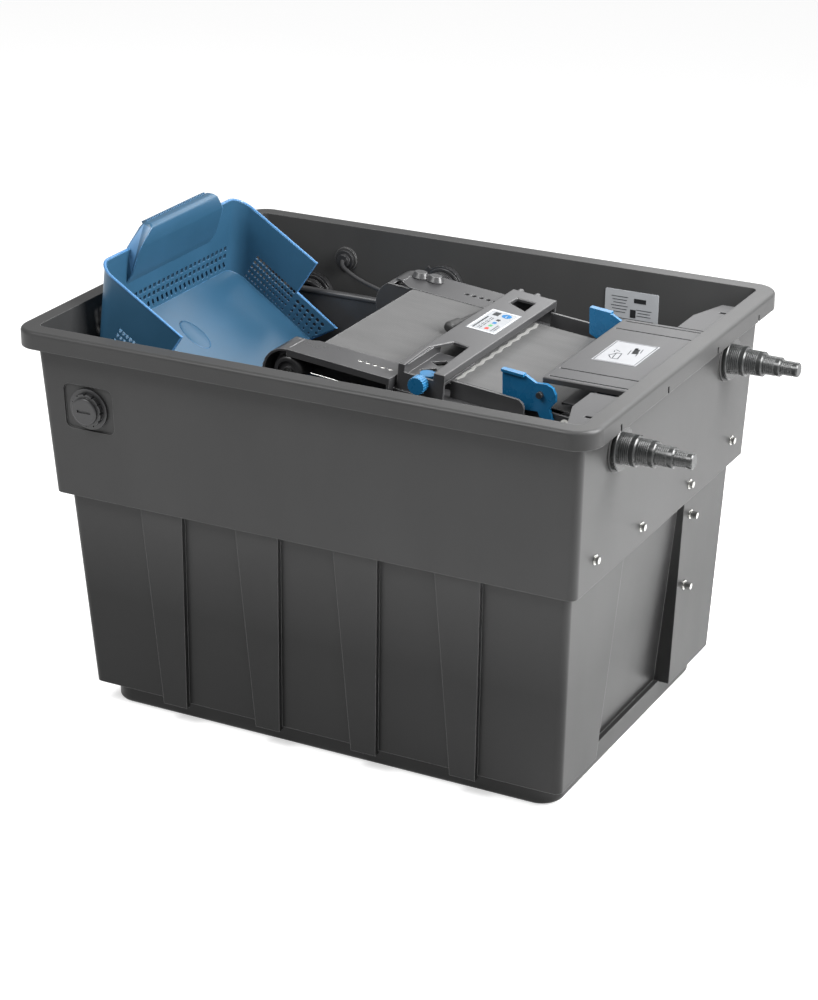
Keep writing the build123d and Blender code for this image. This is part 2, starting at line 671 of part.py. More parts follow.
pulley(ROLLERS[0], NOSE_PULLEY_R, 3.0, "nose_pulley")
pulley(DRIVE, DRIVE_PULLEY_R, SHAFT_R, "drive_pulley")

with BuildPart() as drive_belt:      # small belt from the motor's pulley to the nose roller's
    for grow, mode in ((1.3, Mode.ADD), (0.3, Mode.SUBTRACT)):
        with BuildSketch(deck_view(PULLEY_Y + 4.5)):
            with Locations(ROLLERS[0]):
                Circle(NOSE_PULLEY_R + grow)
            with Locations(DRIVE):
                Circle(DRIVE_PULLEY_R + grow)
            make_hull()
        extrude(amount=4, mode=mode)
save(drive_belt.part, "drive_belt")

MOTOR_FACE = PULLEY_Y + PULLEY_T + 3
with BuildPart() as drive_shaft:
    with BuildSketch(deck_view(MOTOR_FACE - 0.5)):
        with Locations(DRIVE):
            Circle(SHAFT_R)
    extrude(amount=MOTOR_FACE - 0.5 + 164)
save(drive_shaft.part, "drive_shaft")

with BuildPart() as hand_wheel:      # on the drive shaft's free end, inside the near frame's nose
    with BuildSketch(deck_view(-140)):
        with Locations(DRIVE):
            Circle(21)
            Circle(SHAFT_R, mode=Mode.SUBTRACT)
    extrude(amount=26)
    fillet(hand_wheel.edges().filter_by(GeomType.CIRCLE).group_by(Axis.Y)[0].sort_by(SortBy.LENGTH)[-1], 5)
    with BuildSketch(deck_view(-163)):
        with Locations(DRIVE):
            Circle(14)
            Circle(6.5, mode=Mode.SUBTRACT)
    extrude(amount=4, mode=Mode.SUBTRACT)
save(hand_wheel.part, "hand_wheel")

with BuildPart() as gear_motor:
    with BuildSketch(deck_view(168)):
        with Locations(DRIVE):
            Circle(27)
    extrude(amount=168 - MOTOR_FACE)
    with BuildSketch(deck_view(160)):
        with Locations((DRIVE_U + 34, DRIVE_W - 3)):
            Rectangle(30, 34)
    extrude(amount=24)
save(gear_motor.part, "gear_motor")

with BuildPart() as motor_cover:     # two low domes over the motor's terminals, on the far flank
    for u in (-13.0, 9.0):
        with BuildSketch(deck_level(3.3)):
            with Locations((u, 156)):
                Ellipse(12, 10)
        extrude(amount=7, taper=28)
save(motor_cover.part, "motor_cover")

with BuildPart() as scraper:         # blade against the belt's return run
    plate(deck_view(WEB_Y), [(10, -19.2), (12, -19.2), (6, -38), (-2, -42), (-4, -38), (2, -36)], 2 * WEB_Y)
save(scraper.part, "scraper")

STRUT = (-150.0, -29.5)              # world Y, deck w of the tie between hand wheel bracket and shelf
for name, start, radius, length in (("strut_rod", -2, 1.8, 58), ("strut_sleeve", 56, 3.4, 59)):
    with BuildPart() as strut:
        with BuildSketch(deck_section(start)):
            with Locations(STRUT):
                Circle(radius)
        extrude(amount=length)
    save(strut.part, name)

# ================================================================ bridge over the belt
U_MIN, U_MAX = BRIDGE_U
KNOB = (153.0, 2.5)                  # deck u, w
with BuildPart() as bridge:
    bar(deck_level(BRIDGE_W - 4), U_MIN, U_MAX, -BRIDGE_Y, BRIDGE_Y, 4)
    for u in (U_MIN, U_MAX - 3):
        bar(deck_level(BRIDGE_W - 9), u, u + 3, -BRIDGE_Y, BRIDGE_Y, 6)
    for y in (-BRIDGE_Y, BRIDGE_Y - 3):
        bar(deck_level(SHELF_W), U_MIN, U_MAX, y, y + 3, BRIDGE_W - 1 - SHELF_W)
    near_notch = [(130, -160), (130, -150), (127, -88), (143, -54), (165, -57), (169.5, -160)]
    plate(deck_level(10), near_notch, 20, Mode.SUBTRACT)
    plate(deck_level(8), [(139, 110), (140, 131), (166, 131), (167, 96)], 20, Mode.SUBTRACT)
    top_faces = bridge.faces().sort_by(Axis(deck_point(0, 0, 0), deck_level(0).z_dir))
    fillet(top_faces[-1].edges(), 1.5)
    bar(deck_level(3), 126, 180, -155, -66, 3)                   # web below the notch
    plate(deck_level(2), [(136, -128), (150, -112), (164, -128), (150, -140)], 8, Mode.SUBTRACT)
    plate(deck_level(2), [(136, -98), (150, -84), (166, -98), (150, -106)], 8, Mode.SUBTRACT)
    for u in (126, 170):
        bar(deck_level(3), u, u + 4, -155, -62, 15)
    bar(deck_level(8), U_MIN - 1, U_MIN + 4, 62, 132, BRIDGE_W - 12, Mode.SUBTRACT)     # room for the probe
    with BuildSketch(deck_view(-BRIDGE_Y + 5)):
        with Locations(KNOB):
            Circle(3.0)
    extrude(amount=8, mode=Mode.SUBTRACT)
save(bridge.part, "bridge")

with BuildPart() as bridge_lugs:
    for u in (128, 152):
        with BuildSketch(Plane(origin=deck_point(u, BRIDGE_Y, 14), x_dir=(1, 0, 0), z_dir=(0, 1, 0))):
            Circle(5)
        extrude(amount=14)
    fillet(bridge_lugs.edges().filter_by(GeomType.CIRCLE).group_by(Axis.Y)[-1], 4)
save(bridge_lugs.part, "bridge_lugs")

with BuildPart() as bridge_label:
    bar(deck_level(BRIDGE_W), 132, 173, -1.5, 75.5, 0.3)
save(bridge_label.part, "bridge_label")

with BuildPart() as speed_knob:
    with BuildSketch(deck_view(-BRIDGE_Y - 0.4)):
        with Locations(KNOB):
            Circle(11)
            with PolarLocations(11.2, 20):
                Circle(0.9, mode=Mode.SUBTRACT)
    extrude(amount=13)
    with BuildSketch(deck_view(-BRIDGE_Y + 1)):
        with Locations(KNOB):
            Circle(2.95)
    extrude(amount=2)
save(speed_knob.part, "speed_knob")

with BuildPart() as speed_dial:      # graduated disc between the bridge's prongs
    with BuildSketch(deck_level(8)):
        with Locations((155, -143)):
            Circle(10)
    extrude(amount=3)
save(speed_dial.part, "speed_dial")

PROBE_W = 9.6
with BuildPart() as level_probe:     # rubber tip on a rod that runs in under the bridge
    start, end = Vector(*deck_point(104.5, 4, PROBE_W)), Vector(*deck_point(123, 118, PROBE_W))
    for radius, length in ((7.2, 24), (4.4, (end - start).length)):
        with BuildSketch(Plane(origin=start, z_dir=end - start)):
            Circle(radius)
        extrude(amount=length)
    fillet(level_probe.edges().filter_by(GeomType.CIRCLE).sort_by(Axis.Y)[0], 5)
save(level_probe.part, "level_probe")


# ================================================================ latches
def latch(sign, name):
    """Flat lever with a folded thumb tab on its long arm and a hook on its short one."""
    y_face = 127.0 if sign > 0 else -122.5
    outline = [(200.6, 518.5), (231.7, 515.5), (244.7, 508.2), (259, 508.9), (267, 505), (271, 497)]
    outline += [(271, 488), (263, 478.2), (268.1, 460.2), (261, 464), (250.7, 465.8), (247.5, 472.7)]
    outline += [(227, 472), (201, 485.7)]
    tab = [(200.6, 517), (200.6, 520.5), (230, 517.5), (230, 514)]
    with BuildPart() as lever:
        plate(side_view(y_face), outline, 4.5)
        plate(side_view(131.0 if sign > 0 else -122.5), tab, 8.5)
        with BuildSketch(side_view(y_face)):
            with Locations((LATCH_X, LATCH_Z)):
                Circle(4.05)
        extrude(amount=4.5, mode=Mode.SUBTRACT)
    save(lever.part, name)


latch(-1, "near_latch")
latch(1, "far_latch")

with BuildPart() as latch_pins:
    for y in (132.0, -WEB_Y - WEB_T):
        with BuildSketch(side_view(y)):
            with Locations((LATCH_X, LATCH_Z)):
                Circle(4)
        extrude(amount=10.5)
save(latch_pins.part, "latch_pins")

# ================================================================ media chamber under the screen
BASIN_X, BASIN_Y, BASIN_TOP = 304.0, 200.0, 451.0
with BuildPart() as media_basin:
    for sign in (1, -1):
        low, high = sorted((sign * (BASIN_Y - 3.5), sign * BASIN_Y))
        bar(level(40), -BASIN_X, BASIN_X, low, high, BASIN_TOP - 40)
        with BuildSketch(end_view(-BASIN_X)):
            with Locations((sign * BASIN_Y, BASIN_TOP)):
                Circle(5)
        extrude(amount=2 * BASIN_X)
        low, high = sorted((sign * (BASIN_X - 3.5), sign * BASIN_X))
        bar(level(40), low, high, -BASIN_Y, BASIN_Y, 300)
save(media_basin.part, "media_basin")

GRID_Z = 60.0
with BuildPart() as media_grid:
    bar(level(GRID_Z), -296, 296, -192, 192, 5)
    with BuildSketch(level(GRID_Z - 1)):
        with GridLocations(28, 28, 20, 13):
            Circle(9)
    extrude(amount=7, mode=Mode.SUBTRACT)
    with BuildSketch(level(WALL)):
        with GridLocations(252, 168, 3, 2):
            Rectangle(9, 9)
    extrude(amount=GRID_Z - WALL)
save(media_grid.part, "media_grid")

FOAM_COUNT, FOAM_PITCH, FOAM_HEIGHT = 6, 96.0, 210.0
FOAM_X = [(number - (FOAM_COUNT - 1) / 2) * FOAM_PITCH for number in range(FOAM_COUNT)]
with BuildPart() as foam_cartridges:
    for x in FOAM_X:
        bar(level(GRID_Z + 5), x - 42, x + 42, -185, 185, FOAM_HEIGHT)
save(foam_cartridges.part, "foam_cartridges")

FOAM_TOP = GRID_Z + 5 + FOAM_HEIGHT
with BuildPart() as foam_handles:    # top plate and T-shaped grip of each cartridge
    for x in FOAM_X:
        bar(level(FOAM_TOP), x - 35, x + 35, -45, 45, 5)
        bar(level(FOAM_TOP + 5), x - 5, x + 5, -5, 5, 30)
        bar(level(FOAM_TOP + 35), x - 6, x + 6, -45, 45, 8)
save(foam_handles.part, "foam_handles")

# ================================================================ cable gland and lead
GLAND_OUT = 287.0
with BuildPart() as cable_gland:
    for y, radius, thickness in ((266, 14, 4), (275, 8, 15), (262, 9, 5)):
        with BuildSketch(side_view(y)):
            with Locations((GLAND_X, GLAND_Z)):
                Circle(radius)
        extrude(amount=thickness)
save(cable_gland.part, "cable_gland")

with BuildPart() as gland_nut:
    with BuildSketch(side_view(GLAND_OUT - 6)):
        with Locations((GLAND_X, GLAND_Z)):
            RegularPolygon(13, 6, major_radius=False)
    extrude(amount=6)
    with BuildSketch(side_view(GLAND_OUT)):
        with Locations((GLAND_X, GLAND_Z)):
            Circle(6)
    extrude(amount=6)
save(gland_nut.part, "gland_nut")


def corner_radii(points):
    """Largest arc that each corner's two runs leave room for."""
    radii = []
    for before, corner, after in zip(points, points[1:], points[2:]):
        arrive, leave = Vector(*corner) - Vector(*before), Vector(*after) - Vector(*corner)
        half_turn = radians(arrive.get_angle(leave)) / 2
        radii.append(0.45 * min(arrive.length, leave.length) / tan(half_turn))
    return radii


def cord(points, name):
    """Round lead along straight runs joined by tangent arcs."""
    radii = corner_radii(points)
    with BuildPart() as lead:
        with BuildLine() as path:
            FilletPolyline(*points, radius=radii)
        route = path.wires()[0]
        with BuildSketch(Plane(origin=points[0], z_dir=route % 0)):
            Circle(LEAD_R)
        sweep(path=route)
    ideal = pi * LEAD_R**2 * route.length
    print(name, "length", round(route.length, 1), "volume ratio", round(lead.part.volume / ideal, 4))
    print("   radii", [round(r, 1) for r in radii])
    save(lead.part, name)


MOTOR_EXIT = (-107.0, 163.0, 478.0)
inner_route = [(GLAND_X, 257, GLAND_Z), (-229, 244, 477.5), (-212, 229, 476.5), (-186, 211, 474.5)]
inner_route += [(-157, 194, 474), (-131, 177, 476), MOTOR_EXIT]
cord(inner_route, "motor_lead")

COIL_ROWS, COIL_LAYERS = 5, 4
COIL_HEIGHT = COIL_LAYERS * 2 * LEAD_R
COIL_OUT = COIL_MID + COIL_ROWS * LEAD_R
outer_route = [(GLAND_X, GLAND_OUT, GLAND_Z), (-235, 305, 477.5), (-235.5, 323, 466), (-236, 331, 442)]
outer_route += [(-238, 332, 400), (-242, 329, 350), (-246, 331, 298), (-249, 327, 246), (-248, 330, 194)]
outer_route += [(-244, 327, 142), (-240, 330, 94), (-236, 336, 52), (-228, 343, 22), (-212, 348, 5)]
COIL_OUTER_ROW = COIL_Y + COIL_OUT - LEAD_R
outer_route += [(-190, 345, LEAD_R), (-163, 342, LEAD_R), (-134, COIL_OUTER_ROW, LEAD_R)]
cord(outer_route, "supply_lead")

with BuildPart() as lead_coil:
    disc(Plane(origin=(COIL_X, COIL_Y, 0), z_dir=(0, 0, 1)), COIL_OUT, COIL_HEIGHT, 2 * COIL_MID - COIL_OUT)
    fillet(lead_coil.edges().filter_by(GeomType.CIRCLE), LEAD_R)
save(lead_coil.part, "lead_coil")

PLUG_X, PLUG_Y, PLUG_R = 46.0, 303.0, 18.5
leave = radians(60)
top_turn = (COIL_X + (COIL_OUT - LEAD_R) * cos(leave), COIL_Y + (COIL_OUT - LEAD_R) * sin(leave), 19.6)
plug_route = [top_turn, (-84, 320, 16), (-56, 309, 9.5), (-27, 304, 7.5), (1, 303, 12)]
plug_route += [(PLUG_X - 16, PLUG_Y, PLUG_R)]
cord(plug_route, "plug_lead")

with BuildPart() as mains_plug:      # round moulded plug, lying beside the coil
    with BuildSketch(Plane(origin=(PLUG_X, PLUG_Y, PLUG_R), x_dir=(0, 1, 0), z_dir=(1, 0, 0))):
        Circle(PLUG_R)
    extrude(amount=26)
    fillet(mains_plug.edges().filter_by(GeomType.CIRCLE), 3)
    with BuildSketch(Plane(origin=(PLUG_X + 2, PLUG_Y, PLUG_R), x_dir=(0, 1, 0), z_dir=(-1, 0, 0))):
        Circle(11)
    extrude(amount=18, taper=16)
    for y in (-9.5, 9.5):
        disc(Plane(origin=(PLUG_X + 26, PLUG_Y + y, PLUG_R), z_dir=(1, 0, 0)), 2.4, 19)
save(mains_plug.part, "mains_plug")
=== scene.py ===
import json
from math import cos, pi, radians, sin

import bmesh
import bpy
from mathutils import Matrix, Vector


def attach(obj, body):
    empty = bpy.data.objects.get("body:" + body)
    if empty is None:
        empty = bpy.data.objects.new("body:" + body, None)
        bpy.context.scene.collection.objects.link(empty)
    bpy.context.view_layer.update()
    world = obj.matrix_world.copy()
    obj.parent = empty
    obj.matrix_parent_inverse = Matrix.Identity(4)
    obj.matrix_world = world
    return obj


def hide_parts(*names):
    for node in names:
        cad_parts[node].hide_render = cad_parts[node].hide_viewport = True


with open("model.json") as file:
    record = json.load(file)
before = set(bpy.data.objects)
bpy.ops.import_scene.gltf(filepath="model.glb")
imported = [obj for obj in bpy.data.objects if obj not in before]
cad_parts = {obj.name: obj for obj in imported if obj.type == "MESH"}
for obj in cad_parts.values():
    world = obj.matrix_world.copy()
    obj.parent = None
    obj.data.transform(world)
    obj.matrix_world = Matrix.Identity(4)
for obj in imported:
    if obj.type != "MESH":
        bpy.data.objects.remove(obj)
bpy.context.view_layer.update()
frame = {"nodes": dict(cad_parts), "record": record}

MM = 0.001
WELD = 1e-6              # places nearer than this, in metres, are one
nodes = frame["nodes"]


# ------------------------------------------------------------------ shader helpers
def srgb(code):
    """Linear colour of an sRGB hex value."""
    parts = [int(code[i:i + 2], 16) / 255 for i in (1, 3, 5)]
    return [c / 12.92 if c <= 0.04045 else ((c + 0.055) / 1.055) ** 2.4 for c in parts] + [1.0]


def add_node(tree, kind, settings=(), values=(), links=()):
    """One shader node with its settings, the constants on its sockets and the sockets that feed it."""
    node = tree.nodes.new(kind)
    for name, value in dict(settings).items():
        setattr(node, name, value)
    for name, value in dict(values).items():
        node.inputs[name].default_value = value
    for name, source in dict(links).items():
        tree.links.new(source, node.inputs[name])
    return node


def waves_per_metre(size_mm):
    """Texture scale whose features come out about this large."""
    return 1 / (size_mm * MM)


def colour_mix(tree, factor, first, second):
    """Colour from the first to the second by a factor socket; the first is a hex value or a socket."""
    node = add_node(tree, "ShaderNodeMix", {"data_type": "RGBA"}, links={"Factor": factor})
    if isinstance(first, str):
        node.inputs["A"].default_value = srgb(first)
    else:
        tree.links.new(first, node.inputs["A"])
    node.inputs["B"].default_value = srgb(second)
    return node.outputs["Result"]


def new_finish(name, roughness, metallic=0.0, **shader_values):
    """Empty material with a Principled shader; gives the material, its tree, the shader and object space."""
    finish = bpy.data.materials.new(name)
    finish.use_nodes = True
    tree = finish.node_tree
    tree.nodes.clear()
    shader = add_node(tree, "ShaderNodeBsdfPrincipled", values={"Roughness": roughness, "Metallic": metallic})
    for key, value in shader_values.items():
        shader.inputs[key.replace("_", " ")].default_value = value
    add_node(tree, "ShaderNodeOutputMaterial", links={"Surface": shader.outputs["BSDF"]})
    place = add_node(tree, "ShaderNodeTexCoord").outputs["Object"]
    return finish, tree, shader, place


def grained(name, deep, pale, roughness, patch_mm, grain_mm, grain_depth_mm, edge_mm=0.8, streak=(1, 1, 1),
            metallic=0.0, roughness_swing=0.08, painted_edge_highlight=None, painted_shade_below=None, **shader_values):
    """Moulded or cast surface: slow colour drift, fine grain, softened edges and uneven gloss.
    painted_edge_highlight is the colour of a painted highlight on edges; painted_shade_below is (from height, to
    height, tone at the foot) for painted shade that darkens the lower part."""
    finish, tree, shader, place = new_finish(name, roughness, metallic, **shader_values)
    drawn = add_node(tree, "ShaderNodeMapping", values={"Scale": streak}, links={"Vector": place}).outputs[0]
    drift = add_node(
        tree, "ShaderNodeTexNoise", values={"Scale": waves_per_metre(patch_mm), "Detail": 4.0, "Roughness": 0.6},
        links={"Vector": drawn},
    )
    tone = colour_mix(tree, drift.outputs["Fac"], deep, pale)
    edge = add_node(tree, "ShaderNodeBevel", {"samples": 4}, {"Radius": edge_mm * MM})
    # painted shade: the colour is scaled darker towards the foot, standing in for shade on the lower walls
    if painted_shade_below:
        foot, top, foot_tone = painted_shade_below
        height = add_node(tree, "ShaderNodeSeparateXYZ", links={"Vector": place})
        shade = add_node(
            tree, "ShaderNodeMapRange",
            values={"From Min": foot, "From Max": top, "To Min": foot_tone, "To Max": 1.0},
            links={"Value": height.outputs["Z"]},
        )
        shaded = add_node(
            tree, "ShaderNodeVectorMath", {"operation": "SCALE"}, links={"Scale": shade.outputs["Result"]}
        )
        tree.links.new(tone, shaded.inputs[0])
        tone = shaded.outputs[0]
    # painted highlight: where the rounded-edge normal turns away from the true normal, the colour goes paler,
    # standing in for light caught by edges
    if painted_edge_highlight:
        true_normal = add_node(tree, "ShaderNodeNewGeometry").outputs["True Normal"]
        turned = add_node(tree, "ShaderNodeVectorMath", {"operation": "DOT_PRODUCT"})
        tree.links.new(edge.outputs["Normal"], turned.inputs[0])
        tree.links.new(true_normal, turned.inputs[1])
        painted_highlight_share = add_node(
            tree, "ShaderNodeMapRange", values={"From Min": 0.995, "From Max": 0.86},
            links={"Value": turned.outputs["Value"]},
        )
        tone = colour_mix(tree, painted_highlight_share.outputs["Result"], tone, painted_edge_highlight)
    tree.links.new(tone, shader.inputs["Base Color"])
    gloss = add_node(
        tree, "ShaderNodeMapRange",
        values={"To Min": roughness - roughness_swing, "To Max": roughness + roughness_swing},
        links={"Value": drift.outputs["Fac"]},
    )
    tree.links.new(gloss.outputs["Result"], shader.inputs["Roughness"])
    grain = add_node(
        tree, "ShaderNodeTexNoise", values={"Scale": waves_per_metre(grain_mm), "Detail": 3.0},
        links={"Vector": drawn},
    )
    bump = add_node(
        tree, "ShaderNodeBump", values={"Strength": 0.6, "Distance": grain_depth_mm * MM},
        links={"Height": grain.outputs["Fac"], "Normal": edge.outputs["Normal"]},
    )
    tree.links.new(bump.outputs["Normal"], shader.inputs["Normal"])
    return finish


THREAD_MM = 1.6          # drawn between threads; the real ones are 0.3 mm apart, too fine to show


def woven_screen():
    """Polyester filter screen: fine square weave, matt grey, a little cloudy where algae have dried."""
    finish, tree, shader, place = new_finish("woven polyester screen", 0.62, Sheen_Weight=0.15)
    bands = waves_per_metre(THREAD_MM) / 2 * 0.318
    weave = add_node(tree, "ShaderNodeMath", {"operation": "MULTIPLY"})
    for side, direction in enumerate(("X", "Y")):
        wave = add_node(
            tree, "ShaderNodeTexWave", {"bands_direction": direction},
            {"Scale": bands, "Distortion": 0.25, "Detail": 1.0, "Detail Scale": 3.0}, {"Vector": place},
        )
        tree.links.new(wave.outputs["Fac"], weave.inputs[side])
    drawn = add_node(tree, "ShaderNodeMapping", values={"Scale": (0.22, 1, 1)}, links={"Vector": place})
    cloud = add_node(
        tree, "ShaderNodeTexNoise", values={"Scale": waves_per_metre(22), "Detail": 8.0, "Roughness": 0.7},
        links={"Vector": drawn.outputs[0]},
    )
    tone = colour_mix(tree, cloud.outputs["Fac"], "#252525", "#505050")
    threads = add_node(
        tree, "ShaderNodeMix", {"data_type": "RGBA", "blend_type": "MULTIPLY"}, {"Factor": 0.55}, {"A": tone}
    )
    spread = add_node(
        tree, "ShaderNodeMapRange", values={"To Min": 0.45, "To Max": 1.0}, links={"Value": weave.outputs[0]}
    )
    tree.links.new(spread.outputs["Result"], threads.inputs["B"])
    tree.links.new(threads.outputs["Result"], shader.inputs["Base Color"])
    bump = add_node(
        tree, "ShaderNodeBump", values={"Strength": 0.35, "Distance": 0.2 * MM}, links={"Height": weave.outputs[0]}
    )
    tree.links.new(bump.outputs["Normal"], shader.inputs["Normal"])
    return finish


def reticulated_foam():
    """Open-cell filter foam, 20 pores per inch: cells about 1.3 mm, with painted shade where they go deep."""
    finish, tree, shader, place = new_finish("reticulated polyurethane foam", 0.9)
    cells = add_node(
        tree, "ShaderNodeTexVoronoi", {"feature": "DISTANCE_TO_EDGE"}, {"Scale": waves_per_metre(2.6)},
        {"Vector": place},
    )
    # painted shade: the middles of the cells go dark, standing in for shade deep in the open pores
    tone = colour_mix(tree, cells.outputs["Distance"], "#3f6187", "#16283c")
    tree.links.new(tone, shader.inputs["Base Color"])
    bump = add_node(
        tree, "ShaderNodeBump", {"invert": True}, {"Strength": 0.8, "Distance": 1.0 * MM},
        {"Height": cells.outputs["Distance"]},
    )
    tree.links.new(bump.outputs["Normal"], shader.inputs["Normal"])
    return finish


# ------------------------------------------------------------------ finishes
def film(name, deep, pale):
    """Matt label film, nearly flat."""
    return grained(name, deep, pale, 0.6, 25, 2.0, 0.005, 0.1, Specular_IOR_Level=0.15)


def ink(name, deep, pale):
    """Matt printing ink."""
    return grained(name, deep, pale, 0.6, 10, 1.0, 0.004, 0.05, Specular_IOR_Level=0.15)


FINISH = {
    # the edge colours given below are painted highlights along edges
    # thermoformed ABS sheet, satin from the mould, with a faint drag of the sheet down the walls; painted shade on
    # the lower walls, painted highlight on edges
    "tub_plastic": grained(
        "thermoformed ABS tub", "#303030", "#3a3a3a", 0.36, 140, 0.9, 0.05, 1.4, (1, 1, 0.35),
        painted_edge_highlight="#5e5e5e", painted_shade_below=(0.16, 0.31, 0.38), Specular_IOR_Level=0.17,
    ),
    # injection-moulded ABS with a fine spark-eroded grain
    "dark_plastic": grained("moulded black ABS", "#222223", "#2c2c2d", 0.36, 30, 0.7, 0.04, painted_edge_highlight="#4b4b4c"),
    "frame_plastic": grained(
        "moulded grey ABS", "#2e2e2f", "#3b3b3c", 0.3, 50, 0.8, 0.012, 0.9, painted_edge_highlight="#858586"
    ),
    "chamber_plastic": grained(
        "moulded chamber ABS", "#2c2c2d", "#3b3b3c", 0.38, 30, 0.8, 0.015, 1.0, (1, 0.15, 1),
        painted_edge_highlight="#6c6c6d", Specular_IOR_Level=0.3,
    ),
    # blue polypropylene, smoother and slightly waxy
    "blue_plastic": grained(
        "blue polypropylene", "#25485f", "#2e546f", 0.34, 60, 1.2, 0.03, 1.0, painted_edge_highlight="#4f7ba3"
    ),
    # rim bead: a paler blue, a painted highlight along the bead
    "painted_highlight_blue_rim": grained("blue polypropylene with painted highlight", "#3f6c97", "#4b79a4", 0.26, 60, 1.2, 0.03, 0.3),
    "latch_blue": grained("blue acetal", "#0f4b70", "#175b83", 0.28, 20, 0.9, 0.02, 0.6, painted_edge_highlight="#4a86b0"),
    "tail_plastic": grained(
        "moulded tail ABS", "#1f2020", "#2a2b2b", 0.26, 14, 0.6, 0.03, 0.4, painted_edge_highlight="#505151"
    ),
    "screen_fabric": woven_screen(),
    # heat-welded zigzag where the belt's ends meet, glossier and paler than the weave
    "seam_weld": grained("welded polyester seam", "#6f6f6e", "#8c8c8a", 0.35, 4, 0.8, 0.05, 0.2),
    # bright stainless steel, fine marks all over
    "stainless": grained("turned stainless steel", "#a9a9a6", "#c6c6c3", 0.24, 6, 0.4, 0.01, 0.3, metallic=1.0),
    "rubber_black": grained("black EPDM rubber", "#181818", "#232323", 0.6, 12, 0.5, 0.03, 0.4),
    "lead_rubber": grained("rubber lead sheath", "#2c2c2d", "#383839", 0.42, 25, 0.6, 0.02, 0.2),
    "foam_blue": reticulated_foam(),
    "label_white": film("white label film", "#77787a", "#818284"),
    "label_grey": film("grey label film", "#7d7f81", "#898b8e"),
    "motor_metal": grained("die-cast aluminium", "#6b6b6c", "#7b7b7c", 0.42, 10, 0.8, 0.05, 0.6, metallic=1.0),
    "bushing_white": grained("white acetal", "#d4d3cd", "#e2e1dc", 0.35, 8, 0.8, 0.02, 0.3),
    "black_ink": ink("black printing ink", "#151617", "#1d1e20"),
    "grey_ink": ink("grey printing ink", "#26282a", "#323436"),
    "white_ink": grained("white printing ink", "#c9cacb", "#d2d3d4", 0.4, 10, 1.0, 0.004, 0.05),
    "red_ink": ink("red printing ink", "#93332c", "#a03c34"),
    "green_ink": ink("green printing ink", "#3c7a4c", "#478657"),
    "blue_ink": ink("blue printing ink", "#1f5580", "#29608c"),
}
for part in frame["record"]["subparts"]:
    surface = nodes[part["node"]].data
    surface.materials.clear()
    surface.materials.append(FINISH[part["material_slot"]])

nodes["belt_seam"].data.materials[0] = FINISH["seam_weld"]
PIN_START = 0.0715       # the plug's pins stand out of its face from here
plug = nodes["mains_plug"].data
plug.materials.append(FINISH["stainless"])
for face in plug.polygons:
    if face.center.x > PIN_START:
        face.material_index = 1


# ------------------------------------------------------------------ making pieces
SMOOTH_UNDER = radians(35)


def finished(bm, name, slot, body="tub_assembly", replaces=(), smooth=True):
    """Turns a bmesh into a piece that rides on a body."""
    bmesh.ops.remove_doubles(bm, verts=bm.verts, dist=WELD)
    bmesh.ops.recalc_face_normals(bm, faces=bm.faces)
    mesh = bpy.data.meshes.new(name)
    bm.to_mesh(mesh)
    bm.free()
    mesh.materials.append(FINISH[slot])
    if smooth:
        mesh.shade_smooth()
        mesh.set_sharp_from_angle(angle=SMOOTH_UNDER)
    piece = bpy.data.objects.new(name, mesh)
    bpy.context.scene.collection.objects.link(piece)
    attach(piece, body)
    if replaces:
        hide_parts(*replaces)
    return piece


def revolved(places, centre, axis, steps):
    """Closed mesh from a line of places, spun once round an axis."""
    bm = bmesh.new()
    ring = [bm.verts.new(place) for place in places]
    edges = [bm.edges.new(pair) for pair in zip(ring, ring[1:])]
    bmesh.ops.spin(bm, geom=ring + edges, cent=centre, axis=axis, angle=2 * pi, steps=steps, use_merge=True)
    bmesh.ops.remove_doubles(bm, verts=bm.verts, dist=WELD)
    bmesh.ops.holes_fill(bm, edges=[edge for edge in bm.edges if edge.is_boundary], sides=steps + 2)
    return bm


def block(bm, middle, size, turn=Matrix.Identity(4)):
    """Box of a size about a middle, both in mm, turned on the spot."""
    spot = Matrix.Translation([value * MM for value in middle])
    bmesh.ops.create_cube(bm, size=1, matrix=spot @ turn @ Matrix.Diagonal([value * MM for value in size] + [1]))


def disc(bm, spot, foot_radius, top_radius, thickness, segments):
    """Round disc or short cone, in mm, at a spot."""
    bmesh.ops.create_cone(
        bm, cap_ends=True, segments=segments, radius1=foot_radius * MM, radius2=top_radius * MM,
        depth=thickness * MM, matrix=spot,
    )


def comb(count, pitch):
    """Places of evenly spaced features about the middle."""
    return [(step - (count - 1) / 2) * pitch for step in range(count)]


# ------------------------------------------------------------------ leads
LEAD_R = 2.8 * MM
COIL_AT = Vector((-0.132, 0.296, 0))
COIL_MID = 12 * LEAD_R
COIL_ROWS, COIL_LAYERS, POINTS_A_TURN = 5, 4, 16
ROW_SHIFT, LAYER_LIFT = 10, 12     # points after which a turn moves to its next row, or lifts to its next layer
LAST_POINT = 1                     # of the last turn, where the lead leaves the coil
TURN_PULL = 0.981        # a quadratic spline runs this much inside a ring of sixteen control points


def coil_points():
    """Neat coil, wound clockwise: inwards, up, outwards, up; ends on the outer row of the top layer."""
    points, row, layer, inwards = [], COIL_ROWS - 1, 0, True
    turns = COIL_ROWS * COIL_LAYERS
    for turn in range(turns):
        last_of_layer = turn % COIL_ROWS == COIL_ROWS - 1
        next_row = row if last_of_layer else row + (-1 if inwards else 1)
        for step in range(POINTS_A_TURN):
            if turn == turns - 1 and step > LAST_POINT:
                break
            across = next_row if step > ROW_SHIFT else row
            lift = layer + (1 if last_of_layer and step > LAYER_LIFT else 0)
            radius = (COIL_MID + (across - (COIL_ROWS - 1) / 2) * 2 * LEAD_R) / TURN_PULL
            angle = radians(90 - 360 * step / POINTS_A_TURN)
            points.append(COIL_AT + Vector((radius * cos(angle), radius * sin(angle), LEAD_R * (1 + 2 * lift))))
        row = next_row
        if last_of_layer:
            layer, inwards = layer + 1, not inwards
    return points


